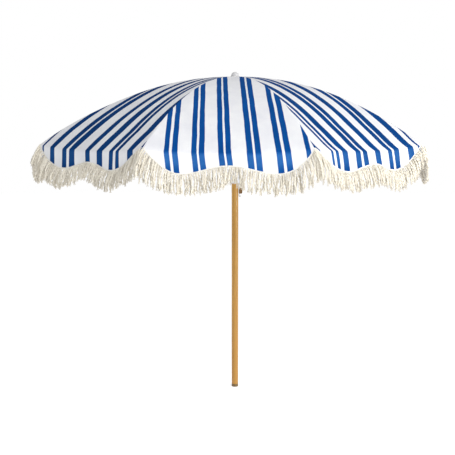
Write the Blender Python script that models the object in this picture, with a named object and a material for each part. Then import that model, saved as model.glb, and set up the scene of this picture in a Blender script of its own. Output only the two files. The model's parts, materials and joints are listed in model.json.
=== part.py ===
"""Beach umbrella: a wooden pole, a runner with a catch, eight ribs and stretchers, and a fringed canopy.

Metres, +Z up. The origin is the centre of the pole's lower end. The canopy is open.
A gore's centre faces -Y, so the ribs stand 22.5 degrees to each side of every axis.
"""
import math

import bmesh
import bpy
from mathutils import Matrix, Vector

# Fits
GAP = 0.0003
RUN_GAP = 0.0006

# Canopy
RIBS = 8
HALF_GORE = math.pi / RIBS
TIP_RADIUS = 0.900
APEX_Z = 1.475
RISE = 0.340 * TIP_RADIUS
PROFILE_POWER = 2.1
CLOTH = 0.0012
CROWN_HOLE = 0.008
ROOF_SAG = 0.012
ROOF_ROWS = 12
GORE_STEPS = 4

# Valance and fringe, measured down from the rim
CUSP_DEPTH = 0.008 * TIP_RADIUS
LOBE_DEPTH = 0.098 * TIP_RADIUS
HUMP_DEPTH = 0.066 * TIP_RADIUS
LOBE_AT = 0.54
FLARE = 0.10
VALANCE_STEPS = 12
VALANCE_ROWS = 2
FRINGE_LENGTH = 0.088
FRINGE_THICK = 0.003

# Pole
POLE_RADIUS = 0.016
FERRULE_HEIGHT = 0.0125
FOOT_EDGE = 0.0006

# Hub
HUB_PIVOT_R = 0.022
HUB_RADIUS = 0.027
HUB_TOP = 1.4724
HUB_BOTTOM = 1.425
HUB_FLANGE = 0.015
HUB_SKIRT_R = 0.0195
HUB_SEAT = 1.446
STUD_RADIUS = 0.003

# Cap
CAP_RADIUS = 0.0215
CAP_TOP = 1.498
CAP_BRIM = 0.003
CAP_DOME_R = 0.0185
CAP_EDGE = 0.0008
STUD_BELOW_TOP = 0.009

# Rib
RIB_WIDTH = 0.004
RIB_HEIGHT = 0.0045
RIB_DROP = 0.0056
RIB_END = TIP_RADIUS - 0.018
RIB_POINTS = 14
EYE_RADIUS = 0.003
WIRE_RADIUS = 0.0009
TIP_BALL = 0.0036
TIP_STRETCH = 1.6
TIP_DROP = 0.0018
LUG_AT_R = 0.42
LUG_DROP = 0.009
LUG_THICK = 0.0024
LUG_ARM = 0.0048
LUG_TUCK = 0.003
LUG_ROUND = 0.002
RIVET_RADIUS = 0.0024
RIVET_SUNK = 0.0005
RIVET_PROUD = 0.0010

# Runner and stretchers
RUNNER_PIVOT_R = 0.030
RUNNER_PIVOT_Z = 1.032
SIDE_STEP = 0.0047
STRETCHER_RADIUS = 0.0021
STRETCHER_EYE = 0.0032
STRETCHER_FLAT = 0.0032
RUNNER_BORE = POLE_RADIUS + RUN_GAP
RUNNER_RADIUS = 0.0215
RUNNER_BOTTOM = 0.978
RUNNER_TOP = 1.046
FLANGE_RADIUS = 0.0345
FLANGE_BOTTOM = 1.022
FLANGE_TOP = 1.0365
FLANGE_EDGE = 0.003
STRETCHER_NECK = 0.011
STRAP_OVERLAP = 0.006
STRETCHER_HOLE = WIRE_RADIUS + 0.0006

# Radial slots of the hub and the runner, as inner and outer radius, and their play beside a bar
HUB_SLOT_R = (0.0182, 0.030)
RUNNER_SLOT_R = (0.0240, 0.040)
RIB_PLAY = 0.0008
STRETCHER_PLAY = 0.0010
OVERCUT = 0.001

# Catch
CATCH_X = 0.0275
CATCH_Z = 0.9885
CATCH_WIDTH = 0.014
CATCH_NECK = 0.008
CATCH_PIN_R = 0.0012
CHEEK = 0.003
CHEEK_INNER_X = 0.0185
CHEEK_OUT = 0.0050
CHEEK_BELOW = 0.0080
CHEEK_ABOVE = 0.0110
LEVER_BEVEL = 0.0012
NECK_RADIUS = 0.0032
NECK_BELOW = 0.0160
HOOK_THICK = 0.0022
HOOK_BEND = 0.0040
HOOK_X = -0.0080
HOOK_TOP = -0.0610
HOOK_LOW = -0.0695
# The lever's outline from its pin, as (out, up)
LEVER_OUTLINE = [
    (-0.0095, -0.0125), (-0.0095, -0.0590), (-0.0065, -0.0603), (0.0040, -0.0600),
    (0.0070, -0.0560), (0.0070, -0.0210), (0.0050, -0.0125),
]

STEPS = 36


def clear_scene():
    for thing in list(bpy.data.objects):
        bpy.data.objects.remove(thing, do_unlink=True)


def make_material(name, colour, roughness, metallic=0.0):
    made = bpy.data.materials.new(name)
    made.use_nodes = True
    shader = made.node_tree.nodes["Principled BSDF"]
    shader.inputs["Base Color"].default_value = (*colour, 1.0)
    shader.inputs["Roughness"].default_value = roughness
    shader.inputs["Metallic"].default_value = metallic
    return made


def add_object(name, mesh, colour, parent=None, flat=False):
    """Links a mesh as a named object; round pieces are shaded smooth up to 35 degree edges."""
    thing = bpy.data.objects.new(name, mesh)
    bpy.context.scene.collection.objects.link(thing)
    if colour and not mesh.materials:
        mesh.materials.append(colour)
    if not flat:
        mesh.shade_smooth()
        mesh.set_sharp_from_angle(angle=math.radians(35))
    if parent:
        thing.parent = parent
    return thing


def mesh_from(name, bm):
    bmesh.ops.recalc_face_normals(bm, faces=bm.faces)
    mesh = bpy.data.meshes.new(name)
    bm.to_mesh(mesh)
    bm.free()
    return mesh


def add_empty(name, place, angle=0.0, parent=None):
    made = bpy.data.objects.new(name, None)
    bpy.context.scene.collection.objects.link(made)
    made.location = place
    made.rotation_euler = (0.0, 0.0, angle)
    if parent:
        made.parent = parent
    return made


def hide_cutter(cutter):
    cutter.hide_render = True
    cutter.display_type = "WIRE"
    return cutter


def add_boolean(thing, cutter, operation="DIFFERENCE"):
    cut = thing.modifiers.new(operation.title(), "BOOLEAN")
    cut.operation = operation
    cut.solver = "EXACT"
    cut.object = hide_cutter(cutter)


def revolve(name, outline, steps=STEPS):
    """Turns a closed (r, z) outline about Z; points with r = 0 become one vertex on the axis."""
    bm = bmesh.new()
    rings = []
    for radius, height in outline:
        if radius < 1e-6:
            rings.append([bm.verts.new((0.0, 0.0, height))])
            continue
        ring = []
        for step in range(steps):
            turn = 2.0 * math.pi * step / steps
            ring.append(bm.verts.new((radius * math.cos(turn), radius * math.sin(turn), height)))
        rings.append(ring)
    for here, there in zip(rings, rings[1:] + rings[:1]):
        if len(here) == 1 and len(there) == 1:
            continue
        for step in range(steps):
            after = (step + 1) % steps
            corners = [here[step % len(here)], here[after % len(here)]]
            corners += [there[after % len(there)], there[step % len(there)]]
            unique = list(dict.fromkeys(corners))
            bm.faces.new(unique)
    return mesh_from(name, bm)


def ring_outline(radius, height, wire, sides=8):
    """The outline of a wire ring: a circle of points about (radius, height)."""
    turns = [2.0 * math.pi * side / sides for side in range(sides)]
    return [(radius + wire * math.cos(turn), height + wire * math.sin(turn)) for turn in turns]


def sweep(name, path, section):
    """Carries a closed section of (y, normal) offsets along a path of (x, z) points."""
    bm = bmesh.new()
    rings = []
    for index, (x, z) in enumerate(path):
        before = path[max(index - 1, 0)]
        after = path[min(index + 1, len(path) - 1)]
        along = Vector((after[0] - before[0], 0.0, after[1] - before[1])).normalized()
        normal = Vector((-along.z, 0.0, along.x))
        centre = Vector((x, 0.0, z))
        ring = [bm.verts.new(centre + normal * up + Vector((0.0, side, 0.0))) for side, up in section]
        rings.append(ring)
    for here, there in zip(rings, rings[1:]):
        for step in range(len(section)):
            after = (step + 1) % len(section)
            bm.faces.new((here[step], here[after], there[after], there[step]))
    bm.faces.new(rings[0])
    bm.faces.new(rings[-1])
    return mesh_from(name, bm)


def rounded_section(width, height, sides=8):
    """A flattened polygon that touches the given width and height."""
    turns = [2.0 * math.pi * (side + 0.5) / sides for side in range(sides)]
    reach = math.cos(math.pi / sides)
    return [(0.5 * width * math.cos(t) / reach, 0.5 * height * math.sin(t) / reach) for t in turns]


def disc(name, radius, low, high, x=0.0, z=0.0, sides=20):
    """A short cylinder along Y, from y = low to y = high, centred on (x, z)."""
    bm = bmesh.new()
    place = Matrix.Translation((x, 0.5 * (low + high), z)) @ Matrix.Rotation(0.5 * math.pi, 4, "X")
    bmesh.ops.create_cone(
        bm, cap_ends=True, segments=sides, radius1=radius, radius2=radius, depth=high - low, matrix=place
    )
    return mesh_from(name, bm)


def box(name, low, high):
    bm = bmesh.new()
    size = Vector(high) - Vector(low)
    centre = (Vector(high) + Vector(low)) / 2.0
    place = Matrix.Translation(centre) @ Matrix.Diagonal((*size, 1.0))
    bmesh.ops.create_cube(bm, size=1.0, matrix=place)
    return mesh_from(name, bm)


def extrude_outline(name, outline, half_width):
    """Extrudes a closed (x, z) outline along Y, to half_width on each side."""
    bm = bmesh.new()
    near = [bm.verts.new((x, -half_width, z)) for x, z in outline]
    far = [bm.verts.new((x, half_width, z)) for x, z in outline]
    for step in range(len(outline)):
        after = (step + 1) % len(outline)
        bm.faces.new((near[step], near[after], far[after], far[step]))
    bm.faces.new(near)
    bm.faces.new(far)
    return mesh_from(name, bm)


def rib_angle(index):
    return -0.5 * math.pi + HALF_GORE * (2 * index + 1)


def cloth_z(radius):
    """Height of the canopy's outer face above a rib."""
    return APEX_Z - RISE * (radius / TIP_RADIUS) ** PROFILE_POWER


def rib_point(radius):
    return radius - HUB_PIVOT_R, cloth_z(radius) - RIB_DROP - HUB_PIVOT_Z


HUB_PIVOT_Z = cloth_z(HUB_PIVOT_R) - RIB_DROP


def roof_point(radius, share):
    """Outer face of one sector; share runs from -1 to 1, gore centre to gore centre, with the rib at 0."""
    half_chord = radius * math.tan(HALF_GORE) * math.cos(HALF_GORE)
    side = abs(share)
    turn = math.copysign(HALF_GORE, share)
    apothem = radius * math.cos(HALF_GORE)
    across = half_chord * (1.0 - side)
    x = apothem * math.cos(turn) + across * math.sin(abs(turn))
    y = apothem * math.sin(turn) - across * math.copysign(math.cos(turn), share)
    sag = ROOF_SAG * (radius / TIP_RADIUS) ** 2 * (1.0 - (1.0 - side) ** 2)
    return Vector((x, y, cloth_z(radius) - sag))


def valance_depth(share):
    """Depth of the scalloped edge below the rim; share is 0 at the rib and 1 at the gore's centre."""
    from_centre = 1.0 - abs(share)
    if from_centre <= LOBE_AT:
        mean = 0.5 * (LOBE_DEPTH + HUMP_DEPTH)
        swing = 0.5 * (LOBE_DEPTH - HUMP_DEPTH)
        return mean - swing * math.cos(math.pi * from_centre / LOBE_AT)
    inward = (1.0 - from_centre) / (1.0 - LOBE_AT)
    return CUSP_DEPTH + (LOBE_DEPTH - CUSP_DEPTH) * math.sin(0.5 * math.pi * inward ** 0.9)


def outward(share):
    """Horizontal direction out of the gore that a share lies in; straight out at the rib."""
    turn = HALF_GORE * max(-1.0, min(1.0, share * 6.0))
    return Vector((math.cos(turn), math.sin(turn), 0.0))


def hang_point(share, depth, out):
    """A point below the rim: depth down, leaning out with the flare, and out metres off the cloth."""
    rim = roof_point(TIP_RADIUS, share)
    return rim + outward(share) * (FLARE * depth + out) - Vector((0.0, 0.0, depth))


def shell(name, outer, inner):
    """A closed sheet between two grids of points of the same size."""
    bm = bmesh.new()
    rows = len(outer)
    columns = len(outer[0])
    front = [[bm.verts.new(point) for point in row] for row in outer]
    back = [[bm.verts.new(point) for point in row] for row in inner]
    for row in range(rows - 1):
        for column in range(columns - 1):
            for side in (front, back):
                corners = (side[row][column], side[row][column + 1])
                bm.faces.new(corners + (side[row + 1][column + 1], side[row + 1][column]))
    edge = [(0, column) for column in range(columns)]
    edge += [(row, columns - 1) for row in range(1, rows)]
    edge += [(rows - 1, column) for column in range(columns - 2, -1, -1)]
    edge += [(row, 0) for row in range(rows - 2, 0, -1)]
    for (row, column), (next_row, next_column) in zip(edge, edge[1:] + edge[:1]):
        corners = (front[row][column], front[next_row][next_column])
        bm.faces.new(corners + (back[next_row][next_column], back[row][column]))
    return mesh_from(name, bm)


def trimmed_shares(steps, radius):
    """Shares across a sector that stop half a gap short of the neighbours."""
    trim = 0.5 * GAP / (radius * math.sin(HALF_GORE))
    return [(1.0 - trim) * (2.0 * step / steps - 1.0) for step in range(steps + 1)]


def roof_normal(radius, share):
    """Upward normal of the roof, from small steps along it."""
    step = 0.004
    out = roof_point(radius + step, share) - roof_point(max(radius - step, 0.001), share)
    across = roof_point(radius, share + step) - roof_point(radius, share - step)
    return out.cross(across).normalized()


def canopy_mesh():
    span = TIP_RADIUS - CROWN_HOLE
    radii = [CROWN_HOLE + span * (row / ROOF_ROWS) ** 1.25 for row in range(ROOF_ROWS + 1)]
    outer = []
    inner = []
    for radius in radii:
        shares = trimmed_shares(2 * GORE_STEPS, radius)
        outer.append([roof_point(radius, share) for share in shares])
        inner.append([roof_point(radius, share) - roof_normal(radius, share) * CLOTH for share in shares])
    return shell("canopy", outer, inner)


def hanging_mesh(name, top_depth, bottom_depth, low_out, high_out):
    """A band below the rim between two depths, each a function of the share."""
    rows = VALANCE_ROWS
    outer = []
    inner = []
    shares = trimmed_shares(2 * VALANCE_STEPS, TIP_RADIUS)
    for row in range(rows + 1):
        part = row / rows
        depths = [top_depth(s) + (bottom_depth(s) - top_depth(s)) * part for s in shares]
        outer.append([hang_point(s, depth, high_out) for s, depth in zip(shares, depths)])
        inner.append([hang_point(s, depth, low_out) for s, depth in zip(shares, depths)])
    return shell(name, outer, inner)


def add_canopy(hinge, number, meshes, colours):
    for part, colour in (("canopy", "canvas"), ("valance", "canvas"), ("fringe", "cotton")):
        made = add_object(f"{part}_{number}", meshes[part], colours[colour], hinge)
        made.location = (-HUB_PIVOT_R, 0.0, -HUB_PIVOT_Z)


def lug_place():
    """The rib's stretcher pivot, in the rib's own frame."""
    x, z = rib_point(LUG_AT_R)
    return x, z - LUG_DROP


def rib_parts():
    """The rib's bar and the pieces joined to it and cut from it, in the rib's own frame."""
    span = RIB_END - HUB_PIVOT_R
    path = [rib_point(HUB_PIVOT_R + span * step / RIB_POINTS) for step in range(RIB_POINTS + 1)]
    bar = sweep("rib", path, rounded_section(RIB_WIDTH, RIB_HEIGHT))
    half = 0.5 * RIB_WIDTH
    eye = disc("rib_eye", EYE_RADIUS, -half - 0.0001, half + 0.0001)
    hole = disc("rib_hole", WIRE_RADIUS + GAP, -2 * half, 2 * half, sides=16)
    lug_x, lug_z = lug_place()
    arm = LUG_ARM
    side_z = lug_z - LUG_ROUND
    outline = [(lug_x - 2 * arm, lug_z + LUG_DROP + LUG_TUCK), (lug_x - arm, side_z), (lug_x, lug_z - arm)]
    outline += [(lug_x + arm, side_z), (lug_x + 2 * arm, lug_z + LUG_DROP - LUG_TUCK)]
    lug = extrude_outline("rib_lug", outline, 0.5 * LUG_THICK)
    rivet = disc("rib_rivet", RIVET_RADIUS, -half, half, lug_x, lug_z, 16)
    return bar, (eye, lug, rivet), hole


def tip_mesh():
    """The rounded cap past the rib's end, stretched along the rib, and its place in the rib's frame."""
    end = Vector((rib_point(RIB_END)[0], 0.0, rib_point(RIB_END)[1]))
    inner = Vector((rib_point(RIB_END - 0.01)[0], 0.0, rib_point(RIB_END - 0.01)[1]))
    along = (end - inner).normalized()
    below = Vector((along.z, 0.0, -along.x))
    tilt = Matrix.Rotation(math.atan2(-along.z, along.x), 4, "Y")
    bm = bmesh.new()
    bmesh.ops.create_uvsphere(bm, u_segments=12, v_segments=8, radius=TIP_BALL)
    bmesh.ops.scale(bm, vec=(TIP_STRETCH, 1.0, 1.0), verts=bm.verts)
    bmesh.ops.rotate(bm, matrix=tilt, verts=bm.verts)
    return mesh_from("rib_tip", bm), end + along * (TIP_STRETCH * TIP_BALL + GAP) + below * TIP_DROP


def add_ribs(hub_hinges, colours):
    bar, joined, hole = rib_parts()
    joined = [add_object(mesh.name + "_solid", mesh, None) for mesh in joined]
    hole = add_object("rib_hole_cutter", hole, None)
    ball, place = tip_mesh()
    master = add_object("rib_master", bar, colours["steel"])
    for piece in joined:
        add_boolean(master, piece, "UNION")
    add_boolean(master, hole)
    finished = evaluated_copy(master, "rib_mesh")
    for number, hinge in enumerate(hub_hinges, 1):
        add_object(f"rib_{number}", finished, colours["steel"], hinge)
        tip = add_object(f"rib_tip_{number}", ball, colours["tip"], hinge)
        tip.location = place


def evaluated_copy(master, name):
    """Bakes a master object's modifiers to a mesh that its copies share, and removes the master."""
    bpy.context.view_layer.update()
    graph = bpy.context.evaluated_depsgraph_get()
    made = bpy.data.meshes.new_from_object(master.evaluated_get(graph), depsgraph=graph)
    made.name = name
    bpy.data.objects.remove(master, do_unlink=True)
    return made


def stretcher_mesh(colours):
    """The stretcher in its own frame: from its runner eye at the origin up to its rib eye."""
    reach_x, reach_z = stretcher_reach()
    length = math.hypot(reach_x, reach_z)
    slope = (reach_x / length, reach_z / length)
    neck = STRETCHER_NECK
    tube = [(slope[0] * along, slope[1] * along) for along in (neck, length - neck)]
    rod = sweep("stretcher", tube, rounded_section(2 * STRETCHER_RADIUS, 2 * STRETCHER_RADIUS))
    master = add_object("stretcher_master", rod, colours["steel"])
    half = 0.5 * STRETCHER_FLAT
    up = 0.75 * STRETCHER_EYE
    side = half - 0.5 * GAP
    strap = [(side, up), (-side, up), (-side, -up), (side, -up)]
    ends = [[(slope[0] * a, slope[1] * a) for a in (0.0, neck + STRAP_OVERLAP)]]
    ends += [[(slope[0] * a, slope[1] * a) for a in (length - neck - STRAP_OVERLAP, length)]]
    for number, path in enumerate(ends, 1):
        add_boolean(master, add_object(f"strap_{number}", sweep("strap", path, strap), None), "UNION")
    for number, (x, z) in enumerate(((0.0, 0.0), (reach_x, reach_z)), 1):
        eye = add_object(f"eye_{number}", disc("eye", STRETCHER_EYE, -half, half, x, z), None)
        add_boolean(master, eye, "UNION")
    head = disc("rivet_head", RIVET_RADIUS, half - RIVET_SUNK, half + RIVET_PROUD, reach_x, reach_z, 16)
    add_boolean(master, add_object("rivet_head_solid", head, None), "UNION")
    hole = disc("stretcher_hole", STRETCHER_HOLE, -4 * half, 4 * half, sides=16)
    add_boolean(master, add_object("stretcher_hole_cutter", hole, None))
    return evaluated_copy(master, "stretcher_mesh")


def stretcher_reach():
    """From the runner's pivot to the rib's lug, as (out, up)."""
    lug_x, lug_z = lug_place()
    return HUB_PIVOT_R + lug_x - RUNNER_PIVOT_R, HUB_PIVOT_Z + lug_z - RUNNER_PIVOT_Z


def around(index, radius, height, side=0.0):
    """A place near rib index: radius out, side metres to its left, at a height."""
    turn = rib_angle(index)
    x = radius * math.cos(turn) - side * math.sin(turn)
    y = radius * math.sin(turn) + side * math.cos(turn)
    return Vector((x, y, height))


def slot_cutters(name, inner, outer, low, high, width, side):
    """Eight radial boxes, one for each rib, as one cutter."""
    bm = bmesh.new()
    for index in range(RIBS):
        centre = around(index, 0.5 * (inner + outer), 0.5 * (low + high), side)
        turn = Matrix.Rotation(rib_angle(index), 4, "Z")
        size = Matrix.Diagonal((outer - inner, width, high - low, 1.0))
        bmesh.ops.create_cube(bm, size=1.0, matrix=Matrix.Translation(centre) @ turn @ size)
    return add_object(name, mesh_from(name, bm), None, flat=True)


def add_pole(colours):
    foot = [(0.0, 0.0), (POLE_RADIUS - FOOT_EDGE, 0.0), (POLE_RADIUS, FOOT_EDGE)]
    foot += [(POLE_RADIUS, FERRULE_HEIGHT), (0.0, FERRULE_HEIGHT)]
    add_object("pole_ferrule", revolve("pole_ferrule", foot), colours["ferrule"])
    low = FERRULE_HEIGHT + GAP
    top = HUB_SEAT - GAP
    rod = [(0.0, low), (POLE_RADIUS, low), (POLE_RADIUS, top), (0.0, top)]
    add_object("pole", revolve("pole", rod), colours["wood"])


def add_hub(colours):
    bore = STUD_RADIUS + GAP
    socket = POLE_RADIUS + GAP
    flange = HUB_TOP - HUB_FLANGE
    groove = HUB_PIVOT_Z - WIRE_RADIUS - GAP
    half = WIRE_RADIUS + GAP
    outline = [(bore, HUB_TOP), (bore, HUB_SEAT), (socket, HUB_SEAT), (socket, HUB_BOTTOM)]
    outline += [(HUB_SKIRT_R, HUB_BOTTOM), (HUB_SKIRT_R, flange), (HUB_RADIUS, flange)]
    outline += [(HUB_RADIUS, HUB_TOP), (HUB_PIVOT_R + half, HUB_TOP), (HUB_PIVOT_R + half, groove)]
    outline += [(HUB_PIVOT_R - half, groove), (HUB_PIVOT_R - half, HUB_TOP)]
    hub = add_object("top_hub", revolve("top_hub", outline), colours["white"])
    slots = slot_cutters(
        "hub_slots", *HUB_SLOT_R, flange - OVERCUT, HUB_TOP + OVERCUT, RIB_WIDTH + RIB_PLAY, 0.0
    )
    add_boolean(hub, slots)
    ring = revolve("hub_ring", ring_outline(HUB_PIVOT_R, HUB_PIVOT_Z, WIRE_RADIUS))
    add_object("hub_ring", ring, colours["steel"])


def add_finial(colours):
    base = APEX_Z + GAP
    bore = STUD_RADIUS + GAP
    stud_top = CAP_TOP - STUD_BELOW_TOP
    dome = [(CAP_DOME_R * math.cos(t), CAP_TOP - (CAP_TOP - base - CAP_BRIM) * (1.0 - math.sin(t)))
            for t in [0.5 * math.pi * step / 10 for step in range(11)]]
    edge = CAP_RADIUS - CAP_EDGE
    outline = [(bore, base), (edge, base), (CAP_RADIUS, base + CAP_EDGE)]
    outline += [(CAP_RADIUS, base + CAP_BRIM - CAP_EDGE), (edge, base + CAP_BRIM)]
    outline += dome[:-1] + [(0.0, CAP_TOP), (0.0, stud_top + GAP), (bore, stud_top + GAP)]
    add_object("finial_cap", revolve("finial_cap", outline), colours["white"])
    stud = [(0.0, HUB_SEAT), (STUD_RADIUS, HUB_SEAT), (STUD_RADIUS, stud_top), (0.0, stud_top)]
    add_object("finial_stud", revolve("finial_stud", stud, 24), colours["steel"])


def add_runner(slide, colours):
    ring_radius = math.hypot(RUNNER_PIVOT_R, SIDE_STEP)
    half = WIRE_RADIUS + GAP
    groove = RUNNER_PIVOT_Z - half
    outline = [(RUNNER_BORE, RUNNER_TOP), (RUNNER_BORE, RUNNER_BOTTOM), (RUNNER_RADIUS, RUNNER_BOTTOM)]
    outline += [(RUNNER_RADIUS, FLANGE_BOTTOM), (FLANGE_RADIUS - FLANGE_EDGE, FLANGE_BOTTOM)]
    outline += [(FLANGE_RADIUS, FLANGE_BOTTOM + FLANGE_EDGE), (FLANGE_RADIUS, FLANGE_TOP)]
    outline += [(ring_radius + half, FLANGE_TOP), (ring_radius + half, groove)]
    outline += [(ring_radius - half, groove), (ring_radius - half, FLANGE_TOP)]
    outline += [(RUNNER_RADIUS, FLANGE_TOP), (RUNNER_RADIUS, RUNNER_TOP)]
    sleeve = revolve("runner", [(r, z - RUNNER_PIVOT_Z) for r, z in outline])
    runner = add_object("runner", sleeve, colours["white"], slide)
    for number, side in enumerate((-1.0, 1.0), 1):
        inner = side * (0.5 * CATCH_NECK + GAP)
        outer = side * (0.5 * CATCH_NECK + GAP + CHEEK)
        low = (CHEEK_INNER_X, min(inner, outer), CATCH_Z - CHEEK_BELOW)
        high = (CATCH_X + CHEEK_OUT, max(inner, outer), CATCH_Z + CHEEK_ABOVE)
        cheek = add_object(f"cheek_{number}", box("cheek", low, high), None, flat=True)
        add_boolean(runner, cheek, "UNION")
    hole = disc("cheek_hole", CATCH_PIN_R + GAP, -CATCH_WIDTH, CATCH_WIDTH, CATCH_X, CATCH_Z, 20)
    add_boolean(runner, add_object("cheek_hole_cutter", hole, None))
    slots = slot_cutters(
        "runner_slots", *RUNNER_SLOT_R, FLANGE_BOTTOM - OVERCUT, FLANGE_TOP + OVERCUT,
        STRETCHER_FLAT + STRETCHER_PLAY, SIDE_STEP,
    )
    add_boolean(runner, slots)
    ring = revolve("runner_ring", ring_outline(ring_radius, 0.0, WIRE_RADIUS))
    add_object("runner_ring", ring, colours["steel"], slide)


def add_catch(slide, colours):
    hinge = add_empty("catch_hinge", (CATCH_X, 0.0, CATCH_Z - RUNNER_PIVOT_Z), parent=slide)
    solid = extrude_outline("catch_lever", LEVER_OUTLINE, 0.5 * CATCH_WIDTH)
    lever = add_object("catch_lever", solid, colours["brown"], hinge)
    edge = lever.modifiers.new("Bevel", "BEVEL")
    edge.width = LEVER_BEVEL
    edge.segments = 2
    neck_outline = [(-NECK_RADIUS, -NECK_BELOW), (-NECK_RADIUS, 0.0)]
    neck_outline += [(-NECK_RADIUS * math.cos(t), NECK_RADIUS * math.sin(t)) for t in (0.6, 1.2, 1.8, 2.4)]
    neck_outline += [(NECK_RADIUS, 0.0), (NECK_RADIUS, -NECK_BELOW)]
    solid = extrude_outline("catch_neck", neck_outline, 0.5 * CATCH_NECK)
    neck = add_object("catch_neck", solid, None, hinge)
    add_boolean(lever, neck, "UNION")
    bore = disc("catch_hole", CATCH_PIN_R + GAP, -CATCH_WIDTH, CATCH_WIDTH, sides=20)
    hole = add_object("catch_hole", bore, None, hinge)
    add_boolean(lever, hole)
    reach = 0.5 * CATCH_NECK + GAP + CHEEK
    solid = disc("catch_pin", CATCH_PIN_R, -reach, reach, sides=20)
    pin = add_object("catch_pin", solid, colours["steel"], slide)
    pin.location = hinge.location
    turns = [math.pi * (1.0 + step / 8) for step in range(10)]
    middle = HOOK_X + HOOK_BEND
    path = [(HOOK_X, HOOK_TOP), (HOOK_X, 0.5 * (HOOK_LOW + HOOK_TOP))]
    path += [(middle + HOOK_BEND * math.cos(t), HOOK_LOW + HOOK_BEND * math.sin(t)) for t in turns]
    hook = sweep("catch_hook", path, rounded_section(HOOK_THICK, HOOK_THICK, 10))
    add_object("catch_hook", hook, colours["dark"], hinge)


def add_stretchers(slide, colours):
    mesh = stretcher_mesh(colours)
    for index in range(RIBS):
        place = around(index, RUNNER_PIVOT_R, 0.0, SIDE_STEP)
        hinge = add_empty(f"stretcher_hinge_{index + 1}", place, rib_angle(index), slide)
        add_object(f"stretcher_{index + 1}", mesh, colours["steel"], hinge)


def make_colours():
    return {
        "wood": make_material("pole_wood", (0.52, 0.30, 0.08), 0.45),
        "ferrule": make_material("ferrule_brown", (0.16, 0.10, 0.03), 0.5),
        "canvas": make_material("canvas", (0.62, 0.70, 0.84), 0.85),
        "cotton": make_material("cotton", (0.84, 0.77, 0.62), 0.95),
        "white": make_material("white_plastic", (0.85, 0.85, 0.86), 0.35),
        "tip": make_material("tip_plastic", (0.82, 0.82, 0.83), 0.4),
        "brown": make_material("catch_brown", (0.24, 0.15, 0.05), 0.45),
        "dark": make_material("hook_steel", (0.06, 0.05, 0.04), 0.4, 1.0),
        "steel": make_material("steel", (0.60, 0.60, 0.60), 0.35, 1.0),
    }


def cloth_meshes():
    rim = 0.5 * GAP + CLOTH
    return {
        "canopy": canopy_mesh(),
        "valance": hanging_mesh("valance", lambda s: rim + GAP, valance_depth, -CLOTH, 0.0),
        "fringe": hanging_mesh(
            "fringe", lambda s: valance_depth(s) + GAP, lambda s: valance_depth(s) + FRINGE_LENGTH,
            -0.5 * FRINGE_THICK, 0.5 * FRINGE_THICK,
        ),
    }


def main():
    clear_scene()
    colours = make_colours()
    add_pole(colours)
    add_hub(colours)
    add_finial(colours)
    slide = add_empty("runner_slide", (0.0, 0.0, RUNNER_PIVOT_Z))
    add_runner(slide, colours)
    add_catch(slide, colours)
    add_stretchers(slide, colours)
    hinges = []
    for index in range(RIBS):
        place = around(index, HUB_PIVOT_R, HUB_PIVOT_Z)
        hinges.append(add_empty(f"rib_hinge_{index + 1}", place, rib_angle(index)))
    add_ribs(hinges, colours)
    meshes = cloth_meshes()
    for number, hinge in enumerate(hinges, 1):
        add_canopy(hinge, number, meshes, colours)


main()
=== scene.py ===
"""The looks of the beach umbrella: striped cloth, scallops, cotton fringe, wooden pole, fittings and light.

Metres, +Z up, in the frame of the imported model. Every piece rides on a body of that model.
"""

import json
import math

import bmesh
import bpy
import numpy as np
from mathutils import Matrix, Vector


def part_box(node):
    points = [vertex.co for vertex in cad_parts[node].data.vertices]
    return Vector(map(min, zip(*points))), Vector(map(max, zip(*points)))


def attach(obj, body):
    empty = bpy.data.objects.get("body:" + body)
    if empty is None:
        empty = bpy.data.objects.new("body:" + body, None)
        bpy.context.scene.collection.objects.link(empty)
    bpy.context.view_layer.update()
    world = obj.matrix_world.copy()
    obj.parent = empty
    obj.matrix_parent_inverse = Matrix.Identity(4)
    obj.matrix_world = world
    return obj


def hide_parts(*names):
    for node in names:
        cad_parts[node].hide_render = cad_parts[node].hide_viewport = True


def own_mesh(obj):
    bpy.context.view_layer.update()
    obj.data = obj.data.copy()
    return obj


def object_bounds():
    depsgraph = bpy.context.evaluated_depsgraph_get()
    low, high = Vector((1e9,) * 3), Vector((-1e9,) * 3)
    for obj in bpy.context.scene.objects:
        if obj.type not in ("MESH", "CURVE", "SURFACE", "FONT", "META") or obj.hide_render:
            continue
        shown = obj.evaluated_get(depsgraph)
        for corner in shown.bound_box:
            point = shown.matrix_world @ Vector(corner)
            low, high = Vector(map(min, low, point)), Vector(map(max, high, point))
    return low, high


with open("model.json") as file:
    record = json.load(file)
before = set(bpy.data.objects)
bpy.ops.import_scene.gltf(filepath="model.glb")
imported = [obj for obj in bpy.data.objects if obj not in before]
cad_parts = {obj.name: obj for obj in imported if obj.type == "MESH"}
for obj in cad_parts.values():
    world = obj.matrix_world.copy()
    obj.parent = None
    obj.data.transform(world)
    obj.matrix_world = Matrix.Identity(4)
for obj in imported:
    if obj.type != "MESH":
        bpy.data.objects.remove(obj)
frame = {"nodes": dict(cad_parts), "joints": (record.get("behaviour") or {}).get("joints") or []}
cad_low, cad_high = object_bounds()

# The canopy's shape, read from the frame
RIBS = 8
HALF_GORE = math.pi / RIBS
CANOPY = frame["nodes"]["canopy_1"]
APEX_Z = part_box("canopy_1")[1].z
TIP_RADIUS = max(math.hypot(v.co.x, v.co.y) for v in CANOPY.data.vertices)
RIM_Z = max(v.co.z for v in CANOPY.data.vertices if math.hypot(v.co.x, v.co.y) > TIP_RADIUS - 1e-5)
RISE = APEX_Z - RIM_Z
PROFILE_POWER = 2.1
CROWN_HOLE = 0.008
SAG = 0.015
CLOTH = 0.0008

# The valance, measured down from the rim
CUSP_DEPTH = -0.009
LOBE_DEPTH = 0.098 * TIP_RADIUS
FLARE = 0.10
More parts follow.
